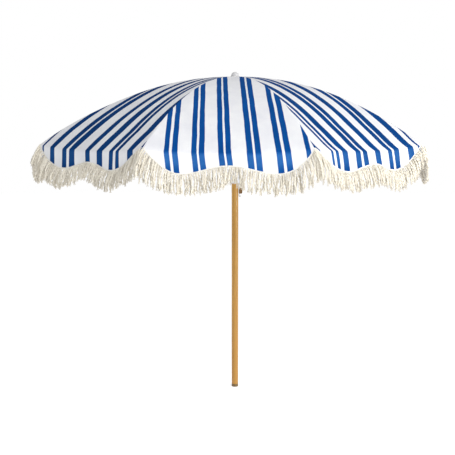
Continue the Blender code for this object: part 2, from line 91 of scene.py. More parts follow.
# Each gore's scallops: left lobe, hump and right lobe as (place across the gore, depth), and how its ends rise
PLAIN_EDGE = ((-0.54, 0.088), (0.0, 0.055), (0.54, 0.088), 0.9, 0.9)
EDGES = {
    0: ((-0.57, 0.088), (0.02, 0.053), (0.60, 0.088), 1.0, 0.75),
    1: ((-0.45, 0.086), (0.03, 0.056), (0.44, 0.089), 1.0, 1.05),
    7: ((-0.45, 0.084), (0.01, 0.051), (0.47, 0.081), 0.75, 1.15),
}

SMALLEST_DEPTH = 0.0008
VALANCE_AREA_SHARE = 0.075

# Mesh density; a power above 1 packs the rows towards the crown and the rim
HALF_COLUMNS = 40
ROOF_ROWS = 44
ROOF_ROW_POWER = 1.1
VALANCE_ROWS = 10
VALANCE_ROW_POWER = 1.2

# The soft waves of the cloth, on the roof (m) and in the lean of the valance
ROOF_WAVE = 0.0016
VALANCE_WAVE = 0.055
TURNOVER = 0.0016
TURNOVER_DEPTH = 0.004

# The white tape on the scalloped edge: its height above the edge, and its section as (down, out)
TAPE_TALL = 0.0048
TAPE_SECTION = [
    (-TAPE_TALL, 0.0013), (-0.5 * TAPE_TALL, 0.0017), (0.0004, 0.0013), (0.0012, -0.0004),
    (0.0004, -0.0021), (-0.5 * TAPE_TALL, -0.0025), (-TAPE_TALL, -0.0021),
]
TAPE_END = 0.9985

# Lockstitches
STITCH_RADIUS = 0.00045
SEAM_STITCH_OFF = 0.0035
SEAM_STITCH_FROM = 0.035
SEAM_STITCH_PITCH = 0.0042
SEAM_STITCH_LENGTH = 0.0028
EDGE_STITCH_PLACE = (-0.0036, 0.0018)
EDGE_STITCH_PITCH = 0.0125
EDGE_STITCH_LENGTH = 0.0080

# Fringe
TASSEL_LENGTH = 0.086
TASSEL_SPACING = 0.0095
PLY_RADIUS = 0.0019
PLY_OFFSET = 0.0017
PLY_PITCH = 0.028
STRAND_RINGS = 24
STRAND_SIDES = 6
FOLLOW_EDGE = 0.35
ROOT_FLARE = 0.72
TIP_FLARE = 0.10
WIGGLE = 0.0028
# How much longer the tassels are at a rib's tip and at a gore's hump, by number, and on all the others
TIP_EXTRA = {8: 0.036, 1: 0.036, 2: -0.020, 7: 0.002}
TIP_EXTRA_ELSEWHERE = 0.012
TIP_REACH = 0.36
HUMP_EXTRA = {0: 0.018, 1: 0.005, 7: -0.013}
HUMP_EXTRA_ELSEWHERE = 0.004
HUMP_REACH = 0.24
# In front of the pole they are shorter, so that the catch shows
POLE_GAP = 0.030
POLE_GAP_AT = 0.03
POLE_GAP_REACH = 0.11
LEAN_SCATTER = 0.075
FLARE_SCATTER = 0.16
# Each layer as out of the cloth (m), share of the length, darkest and lightest tone; the layer behind keeps
# low tones as painted shade
FRINGE_LAYERS = [(0.0012, 0.95, 0.55, 1.0), (-0.0026, 1.06, 0.0, 0.35)]

# The left side stands open a little wider than the rest, from this share of the rib outwards
LEFT_REACH = 0.022
LEFT_FROM = 0.55
LEFT_EASE = 0.42

# The pole's, the cap's and the patch's fine shape
POLE_SOFT_END = 0.0012
POLE_ROWS = 40
CAP_BRIM = 0.0015
CAP_DOME_SHARE = 0.86
CAP_UNDERCUT = 0.0010
PATCH_RADII = (0.0085, 0.0270)
PATCH_LIFTS = (0.0012, 0.0016, 0.0018, 0.0018, 0.0018, 0.0017, 0.0014, 0.0004)
PATCH_CLEARANCE = 0.0003
MOULDED_EDGE = 0.0005
SHARP_ANGLE = math.radians(40)


def joint(name):
    return next(entry for entry in frame["joints"] if entry["name"] == name)


# ---------------------------------------------------------------- camera and light

CAMERA_DISTANCE = 5.307
CAMERA_HEIGHT = 1.347
CAMERA_TURN = math.radians(1.905)
CAMERA_TILT = math.radians(6.234)
CAMERA_PAN = math.radians(0.382)
LENS = 89.15

# The world's light by side, from the viewer's left to right, and what the camera sees of it
AMBIENT = (0.43, 0.66)
AMBIENT_SIDES = (-0.8, 0.8)
FLOOR_RADIUS = 12.0
FLOOR_GAP = 0.0005
FLOOR_GLOW = 0.62
# Each soft lamp as name, place, target, size (m), power (W) and colour
LAMPS = [
    ("key", (2.6, -3.2, 3.4), (0.0, 0.0, 1.2), 1.6, 112.0, (1.0, 0.985, 0.96)),
    ("strip", (3.0, -1.9, 0.75), (0.0, 0.0, 0.6), 0.45, 22.0, (1.0, 0.99, 0.96)),
    ("front", (-1.2, -4.2, 1.6), (0.0, 0.0, 1.1), 2.4, 14.0, (0.96, 0.98, 1.0)),
]


def add_camera():
    """The photo's view: level with the canopy's underside, almost square to the front gore."""
    data = bpy.data.cameras.new("camera")
    data.sensor_width = 36.0
    data.lens = LENS
    data.clip_end = 100.0
    camera = bpy.data.objects.new("camera", data)
    bpy.context.scene.collection.objects.link(camera)
    place = (CAMERA_DISTANCE * math.sin(CAMERA_TURN), -CAMERA_DISTANCE * math.cos(CAMERA_TURN), CAMERA_HEIGHT)
    camera.location = place
    camera.rotation_euler = (0.5 * math.pi - CAMERA_TILT, 0.0, CAMERA_TURN + CAMERA_PAN)
    bpy.context.scene.camera = camera


def add_lamp(name, place, target, size, power, colour):
    """A round area light that faces its target."""
    data = bpy.data.lights.new(name, "AREA")
    data.shape = "DISK"
    data.size = size
    data.energy = power
    data.color = colour
    light = bpy.data.objects.new(name, data)
    bpy.context.scene.collection.objects.link(light)
    light.location = place
    light.rotation_euler = (Vector(target) - Vector(place)).to_track_quat("-Z", "Y").to_euler()


def add_world():
    """A white studio: full white behind the object, softer where it lights the object."""
    world = bpy.data.worlds.new("studio")
    bpy.context.scene.world = world
    world.use_nodes = True
    nodes = world.node_tree.nodes
    links = world.node_tree.links
    back = nodes["Background"]
    rays = nodes.new("ShaderNodeLightPath")
    place = nodes.new("ShaderNodeTexCoord")
    split = nodes.new("ShaderNodeSeparateXYZ")
    links.new(place.outputs["Generated"], split.inputs["Vector"])
    side = nodes.new("ShaderNodeMapRange")
    bounds = zip(("From Min", "From Max", "To Min", "To Max"), AMBIENT_SIDES + AMBIENT)
    for name, value in bounds:
        side.inputs[name].default_value = value
    links.new(split.outputs["X"], side.inputs["Value"])
    mix = nodes.new("ShaderNodeMapRange")
    links.new(side.outputs["Result"], mix.inputs["To Min"])
    mix.inputs["To Max"].default_value = 1.0
    links.new(rays.outputs["Is Camera Ray"], mix.inputs["Value"])
    links.new(mix.outputs["Result"], back.inputs["Strength"])
    back.inputs["Color"].default_value = (1.0, 1.0, 1.0, 1.0)


def add_floor():
    """A pale round floor just under the pole's foot, as white as the studio behind it."""
    bm = bmesh.new()
    bmesh.ops.create_circle(bm, cap_ends=True, segments=96, radius=FLOOR_RADIUS)
    mesh = bpy.data.meshes.new("floor")
    bm.to_mesh(mesh)
    bm.free()
    floor = bpy.data.objects.new("floor", mesh)
    bpy.context.scene.collection.objects.link(floor)
    floor.location.z = cad_low.z - FLOOR_GAP
    paint = bpy.data.materials.new("pale_floor")
    paint.use_nodes = True
    shader = paint.node_tree.nodes["Principled BSDF"]
    shader.inputs["Base Color"].default_value = (0.80, 0.80, 0.80, 1.0)
    shader.inputs["Roughness"].default_value = 0.9
    shader.inputs["Emission Color"].default_value = (1.0, 1.0, 1.0, 1.0)
    shader.inputs["Emission Strength"].default_value = FLOOR_GLOW
    mesh.materials.append(paint)


def add_lights():
    bpy.context.scene.view_settings.view_transform = "Standard"
    add_world()
    for lamp in LAMPS:
        add_lamp(*lamp)


# ---------------------------------------------------------------- materials


class Nodes:
    """A small helper that adds and links the nodes of one material."""

    def __init__(self, name):
        self.material = bpy.data.materials.new(name)
        self.material.use_nodes = True
        self.tree = self.material.node_tree
        self.shader = self.tree.nodes["Principled BSDF"]

    def add(self, kind, **values):
        node = self.tree.nodes.new("ShaderNode" + kind)
        for name, value in values.items():
            if name in node.inputs:
                node.inputs[name].default_value = value
            else:
                setattr(node, name, value)
        return node

    def link(self, source, target):
        self.tree.links.new(source, target)

    def put(self, socket, source):
        if hasattr(source, "is_output"):
            self.link(source, socket)
        else:
            socket.default_value = source

    def math(self, operation, first, second=0.0):
        node = self.add("Math", operation=operation)
        self.put(node.inputs[0], first)
        self.put(node.inputs[1], second)
        return node.outputs[0]

    def mix(self, share, first, second):
        node = self.add("Mix", data_type="RGBA", blend_type="MIX")
        self.put(node.inputs[0], share)
        self.put(node.inputs[6], first)
        self.put(node.inputs[7], second)
        return node.outputs[2]

    def noise(self, vector, scale, detail=3.0, roughness=0.5):
        node = self.add("TexNoise", Scale=scale, Detail=detail, Roughness=roughness)
        self.link(vector, node.inputs["Vector"])
        return node.outputs[0]

    def ramp(self, value, low, high, to_low=0.0, to_high=1.0):
        node = self.add("MapRange")
        self.put(node.inputs[0], value)
        for index, bound in enumerate((low, high, to_low, to_high), 1):
            node.inputs[index].default_value = bound
        return node.outputs[0]

    def scaled(self, vector, scale):
        node = self.add("Mapping")
        node.inputs["Scale"].default_value = scale
        self.link(vector, node.inputs["Vector"])
        return node.outputs[0]

    def bump(self, height, distance, strength=1.0):
        node = self.add("Bump", Distance=distance, Strength=strength)
        self.link(height, node.inputs["Height"])
        return node.outputs[0]

    def object_place(self):
        return self.add("TexCoord").outputs["Object"]

    def finish(self, colour, roughness, normal, **constants):
        self.link(colour, self.shader.inputs["Base Color"])
        self.link(roughness, self.shader.inputs["Roughness"])
        self.link(normal, self.shader.inputs["Normal"])
        for name, value in constants.items():
            self.shader.inputs[name.replace("_", " ")].default_value = value
        return self.material


# Stripes of each cut of the cloth as (centre, width), metres across the gore at the rim from its centre line.
CUTS = {
    "front": [(-0.246, 0.0215), (-0.213, 0.0230), (-0.136, 0.0225), (-0.105, 0.0235), (-0.0285, 0.0235),
              (0.0025, 0.0235), (0.0865, 0.0255), (0.1195, 0.0250), (0.2025, 0.0245), (0.238, 0.0250),
              (0.318, 0.0200)],
    "right": [(-0.325, 0.0200), (-0.246, 0.0140), (-0.217, 0.0180), (-0.170, 0.0350), (-0.088, 0.0320),
              (-0.045, 0.0280), (0.036, 0.0340), (0.116, 0.0270), (0.160, 0.0350), (0.256, 0.0400),
              (0.315, 0.0140)],
    "left": [(-0.313, 0.0120), (-0.246, 0.0310), (-0.160, 0.0310), (-0.109, 0.0370), (-0.005, 0.0310),
             (0.074, 0.0370), (0.150, 0.0270), (0.189, 0.0210), (0.272, 0.0360), (0.335, 0.0160)],
}
# Gores counted from the front, to the viewer's right
GORE_CUTS = ["front", "right", "front", "left", "front", "right", "front", "left"]
# The front cut's stripes lean and spread towards the crown, less so further up
FRONT_LEAN = 0.0745
FRONT_LEAN_EASE = 0.0235
FRONT_SPREAD = 0.28
FRONT_SPREAD_EASE = 0.19
# The right cut's stripes step towards the near rib just above the rim, then lean towards the far one. The lean
# fades beside the far rib.
SIDE_SHIFT = 0.010
SIDE_SHIFT_WITHIN = 0.03
RIGHT_LEAN = 0.13
RIGHT_LEAN_FROM = 0.15
RIGHT_LEAN_ENDS = (0.16, 0.246)
RIGHT_LEAN_EASE = 0.01
# The left cut's stripes lean towards the far rib too, those beside the near rib most
LEFT_LEAN = 0.10
LEFT_FAN = 0.50
LEFT_LEAN_FROM = 0.11
VALANCE_LEAN = 0.12
# Each cut's dye, how much wider its stripes are on the roof, and how strongly its hanging cloth's blue is
# lightened as painted light shining through it
DYE_STRENGTH = {"front": 1.0, "right": 0.72, "left": 0.60}
ROOF_STRIPES = {"front": 0.96, "right": 1.08, "left": 1.14}
PAINTED_BACKLIGHT = {"front": 0.42, "right": 0.30, "left": 0.16}
# Painted shade on each cut's undyed cloth: the right cut is darkened to tone down the strong key light on that
# side
WHITE_PAINTED_SHADE = {"front": 1.0, "right": 0.93, "left": 1.0}


def canvas_material(name, stripes):
    """Woven cotton canvas with dyed stripes that run along the cloth."""
    n = Nodes("canvas_" + name)
    dye = DYE_STRENGTH[name]
    slant = math.hypot(TIP_RADIUS, RISE)
    place = n.add("UVMap", uv_map="cloth").outputs[0]
    split = n.add("SeparateXYZ")
    n.link(place, split.inputs[0])
    across = split.outputs[0]
    wander = n.noise(n.scaled(place, (1.0, 0.6, 1.0)), 14.0, 2.0)
    across = n.math("ADD", across, n.ramp(wander, 0.3, 0.7, -0.0011, 0.0011))
    grown = n.ramp(split.outputs[1], slant - 0.030, slant, ROOF_STRIPES[name], 1.0)
    dyed = None
    for centre, width in stripes:
        away = n.math("ABSOLUTE", n.math("SUBTRACT", across, centre))
        away = n.math("DIVIDE", away, grown)
        inside = n.ramp(away, 0.5 * width - 0.0006, 0.5 * width + 0.0006, 1.0, 0.0)
        dyed = inside if dyed is None else n.math("MAXIMUM", dyed, inside)
    weave_u = n.add("TexWave", wave_type="BANDS", bands_direction="X", Scale=180.0, Distortion=0.6)
    weave_v = n.add("TexWave", wave_type="BANDS", bands_direction="Y", Scale=150.0, Distortion=0.6)
    for weave in (weave_u, weave_v):
        n.link(place, weave.inputs["Vector"])
    weave = n.math("MULTIPLY", weave_u.outputs[1], weave_v.outputs[1])
    mottle = n.noise(place, 9.0, 4.0, 0.6)
    slub = n.noise(n.scaled(place, (40.0, 600.0, 1.0)), 1.0, 2.0)
    # The undyed cloth of each cut is darkened by this factor as painted shade, most on the right cut.
    white_shade_factor = WHITE_PAINTED_SHADE[name]
    # Both whites are tinted blue as a painted cool shade; the mottle picks between them at random.
    darker_blued_white = (0.79 * white_shade_factor, 0.80 * white_shade_factor, 0.85 * white_shade_factor, 1.0)
    lighter_blued_white = (0.88 * white_shade_factor, 0.89 * white_shade_factor, 0.91 * white_shade_factor, 1.0)
    white = n.mix(n.ramp(mottle, 0.3, 0.7), darker_blued_white, lighter_blued_white)
    deep = (0.0015 * dye, 0.052 * dye, 0.235 * dye, 1.0)
    clear = (0.0030 * dye, 0.080 * dye, 0.330 * dye, 1.0)
    blue = n.mix(n.ramp(mottle, 0.25, 0.75), deep, clear)
    blue = n.mix(n.ramp(slub, 0.55, 0.8, 0.0, 0.15), blue, (0.012, 0.11, 0.40, 1.0))
    # Painted light: the blue of the hanging cloth is lightened as if lit through from behind.
    backlit_share = n.math("MULTIPLY", n.ramp(split.outputs[1], slant - 0.004, slant + 0.012), PAINTED_BACKLIGHT[name])
    backlit_share = n.math("MULTIPLY", backlit_share, n.ramp(split.outputs[1], slant + 0.045, slant + 0.075, 1.0, 0.15))
    backlit_share = n.math("MULTIPLY", backlit_share, n.ramp(mottle, 0.30, 0.62, 0.55, 1.0))
    blue = n.mix(backlit_share, blue, (0.060, 0.210, 0.520, 1.0))
    colour = n.mix(dyed, white, blue)
    colour = n.mix(n.ramp(weave, 0.0, 0.5, 0.07, 0.0), colour, (0.010, 0.050, 0.140, 1.0))
    crease = n.noise(n.scaled(place, (1.0, 0.5, 1.0)), 26.0, 3.0, 0.55)
    fine = n.bump(weave, 0.0004, 0.5)
    coarse = n.add("Bump", Distance=0.004, Strength=0.35)
    n.link(crease, coarse.inputs["Height"])
    n.link(fine, coarse.inputs["Normal"])
    rough = n.ramp(slub, 0.2, 0.8, 0.78, 0.92)
    return n.finish(colour, rough, coarse.outputs[0], Specular_IOR_Level=0.04)


def cotton_material():
    """Undyed twisted cotton, each strand a little different; the dark tones of the layer behind are painted
    shade.
    """
    n = Nodes("fringe_cotton")
    tone = n.add("Attribute", attribute_name="tone")
    place = n.object_place()
    fibre = n.noise(place, 900.0, 3.0, 0.7)
    # The low-tone colour is painted shade, used on the layer behind; on the outer layer the tones differ at
    # random.
    light = n.mix(tone.outputs["Fac"], (0.56, 0.515, 0.43, 1.0), (0.93, 0.89, 0.79, 1.0))
    colour = n.mix(n.ramp(fibre, 0.35, 0.75, 0.0, 0.3), light, (0.58, 0.51, 0.39, 1.0))
    normal = n.bump(fibre, 0.0006, 0.6)
    rough = n.ramp(fibre, 0.0, 1.0, 0.85, 0.98)
    return n.finish(colour, rough, normal, Sheen_Weight=0.3, Sheen_Roughness=0.6)


def binding_material():
    """White cotton tape."""
    n = Nodes("binding_tape")
    place = n.object_place()
    rib = n.noise(place, 700.0, 2.0)
    colour = n.mix(n.ramp(rib, 0.3, 0.7), (0.78, 0.76, 0.71, 1.0), (0.89, 0.88, 0.84, 1.0))
    return n.finish(colour, n.ramp(rib, 0.0, 1.0, 0.75, 0.9), n.bump(rib, 0.0004, 0.5), Sheen_Weight=0.1)


def wood_material():
    """Honey-coloured varnished wood with a long grain."""
    n = Nodes("honey_wood")
    place = n.object_place()
    warp = n.noise(n.scaled(place, (6.0, 6.0, 0.9)), 1.0, 3.0)
    grain = n.noise(n.scaled(place, (160.0, 160.0, 3.2)), 1.0, 6.0, 0.65)
    rings = n.add("TexWave", wave_type="BANDS", bands_direction="X", Scale=26.0, Distortion=5.0, Detail=3.0)
    n.link(n.scaled(place, (1.0, 0.7, 0.035)), rings.inputs["Vector"])
    pores = n.noise(n.scaled(place, (900.0, 900.0, 14.0)), 1.0, 2.0)
    base = n.mix(n.ramp(warp, 0.3, 0.7), (0.41, 0.195, 0.020, 1.0), (0.58, 0.305, 0.055, 1.0))
    base = n.mix(n.ramp(rings.outputs[1], 0.2, 0.9, 0.0, 0.35), base, (0.31, 0.130, 0.010, 1.0))
    base = n.mix(n.ramp(grain, 0.42, 0.68, 0.0, 0.5), base, (0.74, 0.43, 0.105, 1.0))
    height = n.add("SeparateXYZ")
    n.link(place, height.inputs[0])
    # Painted shade: the wood is darker towards the pole's foot.
    base = n.mix(n.ramp(height.outputs[2], 0.1, 0.9, 0.45, 0.0), base, (0.31, 0.130, 0.014, 1.0))
    base = n.mix(n.ramp(pores, 0.62, 0.74, 0.0, 0.5), base, (0.27, 0.12, 0.03, 1.0))
    rough = n.ramp(grain, 0.2, 0.8, 0.30, 0.46)
    normal = n.bump(grain, 0.0006, 0.35)
    return n.finish(base, rough, normal, Specular_IOR_Level=0.25, Coat_Weight=0.5, Coat_Roughness=0.2)


def plastic_material(name, dark, light, rough):
    """Moulded plastic: a faint flow in the colour and a fine eggshell surface."""
    n = Nodes(name)
    place = n.object_place()
    flow = n.noise(place, 40.0, 3.0)
    shell = n.noise(place, 1400.0, 2.0)
    colour = n.mix(n.ramp(flow, 0.3, 0.7), (*dark, 1.0), (*light, 1.0))
    return n.finish(colour, n.ramp(flow, 0.2, 0.8, rough, rough + 0.12), n.bump(shell, 0.0001, 0.4))


def metal_material(name, dark, light, rough, metallic=1.0):
    """Drawn or lacquered metal with scratches along its length and some dulling."""
    n = Nodes(name)
    place = n.object_place()
    cloud = n.noise(place, 60.0, 4.0, 0.6)
    scratch = n.noise(n.scaled(place, (1500.0, 1500.0, 60.0)), 1.0, 2.0)
    colour = n.mix(n.ramp(cloud, 0.35, 0.7), (*dark, 1.0), (*light, 1.0))
    normal = n.bump(scratch, 0.00015, 0.3)
    return n.finish(colour, n.ramp(cloud, 0.2, 0.8, rough, rough + 0.2), normal, Metallic=metallic)


# ---------------------------------------------------------------- the cloth's shape


def cloth_z(radius):
    """Height of the cloth over a rib, this far from the pole's axis."""
    return APEX_Z - RISE * (radius / TIP_RADIUS) ** PROFILE_POWER


def scallops(place, edge):
    """Depth of one gore's scalloped edge for an array of places, -1 at one rib and 1 at the next."""
    (left, left_depth), (middle, hump), (right, right_depth), left_rise, right_rise = edge
    left_side = 0.5 - 0.5 * np.cos(math.pi * np.clip((place - left) / (middle - left), 0.0, 1.0))
    right_side = 0.5 - 0.5 * np.cos(math.pi * np.clip((right - place) / (right - middle), 0.0, 1.0))
    inner_left = left_depth + (hump - left_depth) * left_side
    inner_right = right_depth + (hump - right_depth) * right_side
    from_left = np.clip((place + 1.0) / (left + 1.0), 0.0, 1.0) ** left_rise
    from_right = np.clip((1.0 - place) / (1.0 - right), 0.0, 1.0) ** right_rise
    outer_left = CUSP_DEPTH + (left_depth - CUSP_DEPTH) * np.sin(0.5 * math.pi * from_left)
    outer_right = CUSP_DEPTH + (right_depth - CUSP_DEPTH) * np.sin(0.5 * math.pi * from_right)
    inner = np.where(place < middle, inner_left, inner_right)
    return np.where(place < left, outer_left, np.where(place > right, outer_right, inner))


def ripple(gore, place, row):
    """Smooth uneven waves in the range -1 to 1, the same from both sides of a gore's centre line.

    place runs from -1 to 1 across the gore; row runs from 0 at the crown to 1 at the rim.
    """
    turn = 1.7 * gore
    wave = np.sin(5.3 * place + 2.1 * row + turn) * 0.5
    wave += np.sin(11.7 * place - 3.0 * row + 2.3 * turn) * 0.3
    wave += np.sin(19.0 * place + 5.0 * row + 4.1 * turn) * 0.2
    return wave


def smooth(t):
    """An eased step from 0 to 1."""
    t = np.clip(t, 0.0, 1.0)
    return t * t * (3.0 - 2.0 * t)


def opened(points):
    """Moves points on the left outwards; nothing moves on the other ribs or near the pole."""
    turn = np.arctan2(points[..., 1], points[..., 0])
    away = np.abs(np.abs(turn) - math.pi)
    share = smooth((3.0 * HALF_GORE - away) / (2.0 * HALF_GORE))
    ratio = np.hypot(points[..., 0], points[..., 1]) / TIP_RADIUS
    reach = LEFT_REACH * share * smooth((ratio - LEFT_FROM) / LEFT_EASE)
    moved = points.copy()
    moved[..., 0] += reach * np.cos(turn)
    moved[..., 1] += reach * np.sin(turn)
    return moved


class Sector:
    """One rib's share of the canopy, from gore centre to gore centre."""

    def __init__(self, number):
        hinge = joint(f"rib_fold_{number}")
        self.number = number
        self.pivot = Vector(hinge["pos_m"])
        self.angle = math.atan2(self.pivot.y, self.pivot.x)
        self.tangent = Vector((-math.sin(self.angle), math.cos(self.angle), 0.0))

    def gore(self, share):
        """Number of the gore that each share lies in, counted from the front."""
        return np.where(share < 0.0, self.number - 1, self.number % RIBS)

    def gore_place(self, share):
        """Place across the gore, -1 to 1, rib to rib."""
        return np.where(share < 0.0, 1.0 + share, -1.0 + share)

    def edge_depth(self, share):
        """Depth of the scalloped edge; share is 0 at the rib and -1 or 1 at the gores' centres."""
        share = np.clip(share, -1.0, 1.0)
        first = EDGES.get(self.number - 1, PLAIN_EDGE)
        second = EDGES.get(self.number % RIBS, PLAIN_EDGE)
        return np.where(share < 0.0, scallops(1.0 + share, first), scallops(-1.0 + share, second))

    def turned(self, x, y, z):
        """From the rib's own frame, with the rib on +X, to the row frame."""
        c, s = math.cos(self.angle), math.sin(self.angle)
        return np.stack([x * c - y * s, x * s + y * c, z], axis=-1)

    def roof(self, radius, share):
        """Points of the roof for arrays of rib radius and share."""
        side = np.abs(share)
        sign = np.where(share < 0.0, -1.0, 1.0)
        apothem = radius * math.cos(HALF_GORE)
        across = radius * math.sin(HALF_GORE) * (1.0 - side)
        x = apothem * math.cos(HALF_GORE) + across * math.sin(HALF_GORE)
        y = sign * (apothem * math.sin(HALF_GORE) - across * math.cos(HALF_GORE))
        row = radius / TIP_RADIUS
        bulge = 1.0 - (1.0 - side) ** 2
        sag = SAG * row ** 2.5 * bulge
        wave = ripple(self.gore(share), self.gore_place(share), row)
        sag = sag - ROOF_WAVE * wave * np.sqrt(bulge) * row
        return opened(self.turned(x, y, cloth_z(radius) - sag))

    def outward(self, share):
        """The way that the valance faces, turned smoothly where it passes the rib."""
        turn = self.angle + HALF_GORE * np.clip(share * 6.0, -1.0, 1.0)
        return np.stack([np.cos(turn), np.sin(turn), np.zeros_like(turn)], axis=-1)

    def hang(self, share, depth, out=0.0):
        """Points below the rim: depth down, leaning out, with soft waves that grow towards the edge."""
        rim = self.roof(np.full_like(share, TIP_RADIUS), share)
        wave = ripple(self.gore(share) + 3, self.gore_place(share) * 1.3, depth * 4.0)
        loose = np.clip(np.abs(share) * 5.0, 0.0, 1.0)
        lean = FLARE * depth + VALANCE_WAVE * depth * wave * loose + out
        turnover = TURNOVER * (1.0 - np.exp(-depth / TURNOVER_DEPTH))
        point = rim + self.outward(share) * (lean + turnover)[..., None]
        point[..., 2] -= depth
        return point


def add_mesh(name, vertices, faces, materials):
    mesh = bpy.data.meshes.new(name)
    mesh.from_pydata([tuple(v) for v in vertices], [], [tuple(f) for f in faces])
    for paint in materials:
        mesh.materials.append(paint)
    mesh.shade_smooth()
    made = bpy.data.objects.new(name, mesh)
    bpy.context.scene.collection.objects.link(made)
    return made


def grid_faces(rows, columns):
    """Faces of an open grid whose vertices run row by row."""
    faces = []
    for row in range(rows - 1):
        for column in range(columns - 1):
            start = row * columns + column
            faces.append((start, start + 1, start + columns + 1, start + columns))
    return faces


def lay_on(piece, sector):
    """The piece rides on its rib, with a mesh of its own."""
    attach(piece, f"rib_{sector.number}")
    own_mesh(piece)


def stripe_place(gore, across, radius):
    """Across the gore, as the cloth was cut: its stripes lean and spread a little."""
    short = TIP_RADIUS - radius
    if GORE_CUTS[gore] == "left":
        rise = max(short - LEFT_LEAN_FROM, 0.0)
        return (across + LEFT_LEAN * rise) / (1.0 - LEFT_FAN * rise)
    if GORE_CUTS[gore] == "right":
        lean = RIGHT_LEAN * max(short - RIGHT_LEAN_FROM, 0.0)
        fades, gone = RIGHT_LEAN_ENDS
        share = np.clip((gone - across) / max(gone - fades - lean, RIGHT_LEAN_EASE), 0.0, 1.0)
        return across + SIDE_SHIFT * min(short / SIDE_SHIFT_WITHIN, 1.0) - lean * share
    lean = (FRONT_LEAN - FRONT_LEAN_EASE * short) * short
    spread = (FRONT_SPREAD - FRONT_SPREAD_EASE * short) * short
    return (across + lean) / (1.0 - spread)


def add_cloth(sector, canvases):
    """Roof and valance of one sector as one sheet, with the stripe coordinate in its UV map."""
    shares = np.linspace(-1.0, 1.0, 2 * HALF_COLUMNS + 1)
    steps = (np.arange(ROOF_ROWS + 1) / ROOF_ROWS) ** ROOF_ROW_POWER
    radii = CROWN_HOLE + (TIP_RADIUS - CROWN_HOLE) * steps
    grid = [sector.roof(np.full_like(shares, radius), shares) for radius in radii]
    edge = np.maximum(sector.edge_depth(shares), SMALLEST_DEPTH)
    for row in range(1, VALANCE_ROWS + 1):
        grid.append(sector.hang(shares, edge * (row / VALANCE_ROWS) ** VALANCE_ROW_POWER))
    grid = np.array(grid)
    rows, columns = grid.shape[:2]
    cuts = sorted({GORE_CUTS[g] for g in sector.gore(shares)})
    faces = grid_faces(rows, columns)
    cloth = add_mesh(f"cloth_{sector.number}", grid.reshape(-1, 3), faces, [canvases[c] for c in cuts])
    layer = cloth.data.uv_layers.new(name="cloth")
    slant = math.hypot(TIP_RADIUS, RISE)
    for face in cloth.data.polygons:
        middle = 0.5 * (shares[face.vertices[0] % columns] + shares[face.vertices[1] % columns])
        gore = int(sector.gore(np.array(middle)))
        face.material_index = cuts.index(GORE_CUTS[gore])
        for loop in face.loop_indices:
            vertex = cloth.data.loops[loop].vertex_index
            row, column = divmod(vertex, columns)
            radius = radii[min(row, ROOF_ROWS)]
            share = shares[column]
            sign = -1.0 if middle < 0.0 else 1.0
            across = -sign * (1.0 - abs(share)) * radius * math.sin(HALF_GORE)
            down = (max(row - ROOF_ROWS, 0) / VALANCE_ROWS) ** VALANCE_ROW_POWER * edge[column]
            along = slant * radius / TIP_RADIUS + down
            layer.data[loop].uv = (stripe_place(gore, across, radius) - VALANCE_LEAN * down, along)
    thick = cloth.modifiers.new("Thickness", "SOLIDIFY")
    thick.thickness = CLOTH
    thick.offset = -1.0
    thick.use_rim = False
    width = 2.0 * TIP_RADIUS * math.sin(HALF_GORE)
    length = slant * math.cos(HALF_GORE) + LOBE_DEPTH
    area = 0.5 * width * slant * math.cos(HALF_GORE) + VALANCE_AREA_SHARE * TIP_RADIUS * width
    lay_on(cloth, sector)
    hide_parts(f"canopy_{sector.number}", f"valance_{sector.number}")
    return cloth, (width, length), area


def edge_frame(sector, shares, in_plane, out):
    """Points near the scalloped edge, moved in the cloth's plane across the edge and out of it."""
    depth = sector.edge_depth(shares)
    step = 1e-3
    ahead = np.minimum(shares + step, 1.0)
    behind = np.maximum(shares - step, -1.0)
    slope = (sector.edge_depth(ahead) - sector.edge_depth(behind)) / (ahead - behind)
    scale = TIP_RADIUS * math.sin(HALF_GORE)
    rise = slope / scale
    length = np.sqrt(1.0 + rise ** 2)
    return sector.hang(shares - in_plane * rise / length / scale, depth + in_plane / length, out)


def add_binding(sector, paint):
    """White tape folded over the scalloped edge."""
    shares = np.linspace(-TAPE_END, TAPE_END, 4 * HALF_COLUMNS + 1)
    rings = np.array([edge_frame(sector, shares, down, out) for down, out in TAPE_SECTION])
    sides, count = rings.shape[:2]
    vertices = rings.transpose(1, 0, 2).reshape(-1, 3)
    faces = []
    for step in range(count - 1):
        for side in range(sides):
            after = (side + 1) % sides
            low, high = step * sides, (step + 1) * sides
            faces.append((low + side, low + after, high + after, high + side))
    faces.append(tuple(range(sides)))
    faces.append(tuple(range((count - 1) * sides, count * sides))[::-1])
    tape = add_mesh(f"binding_{sector.number}", vertices, faces, [paint])
    lay_on(tape, sector)
    return tape


# ---------------------------------------------------------------- fringe


def tassel_shares(sector, rng):
    """Shares along the edge, evenly spaced by length with a little scatter."""
    shares = np.linspace(-0.999, 0.999, 2001)
    line = edge_frame(sector, shares, 0.0, 0.0)
    run = np.concatenate([[0.0], np.cumsum(np.linalg.norm(np.diff(line, axis=0), axis=1))])
    count = int(run[-1] / TASSEL_SPACING)
    wanted = (np.arange(count) + 0.5 + rng.uniform(-0.22, 0.22, count)) * run[-1] / count
    return np.interp(wanted, run, shares)


def longer(sector, shares):
    """How much longer the tassels are than in the lobes: near the ribs, at the humps, and at the pole."""
    gore = sector.gore(shares)
    place = sector.gore_place(shares)
    hump = np.array([HUMP_EXTRA.get(int(number), HUMP_EXTRA_ELSEWHERE) for number in gore])
    tip = TIP_EXTRA.get(sector.number, TIP_EXTRA_ELSEWHERE) * (1.0 - smooth(np.abs(shares) / TIP_REACH))
    gap = np.where(gore == 0, POLE_GAP, 0.0) * np.exp(-((place - POLE_GAP_AT) / POLE_GAP_REACH) ** 4)
    return tip + hump * np.exp(-(place / HUMP_REACH) ** 2) - gap


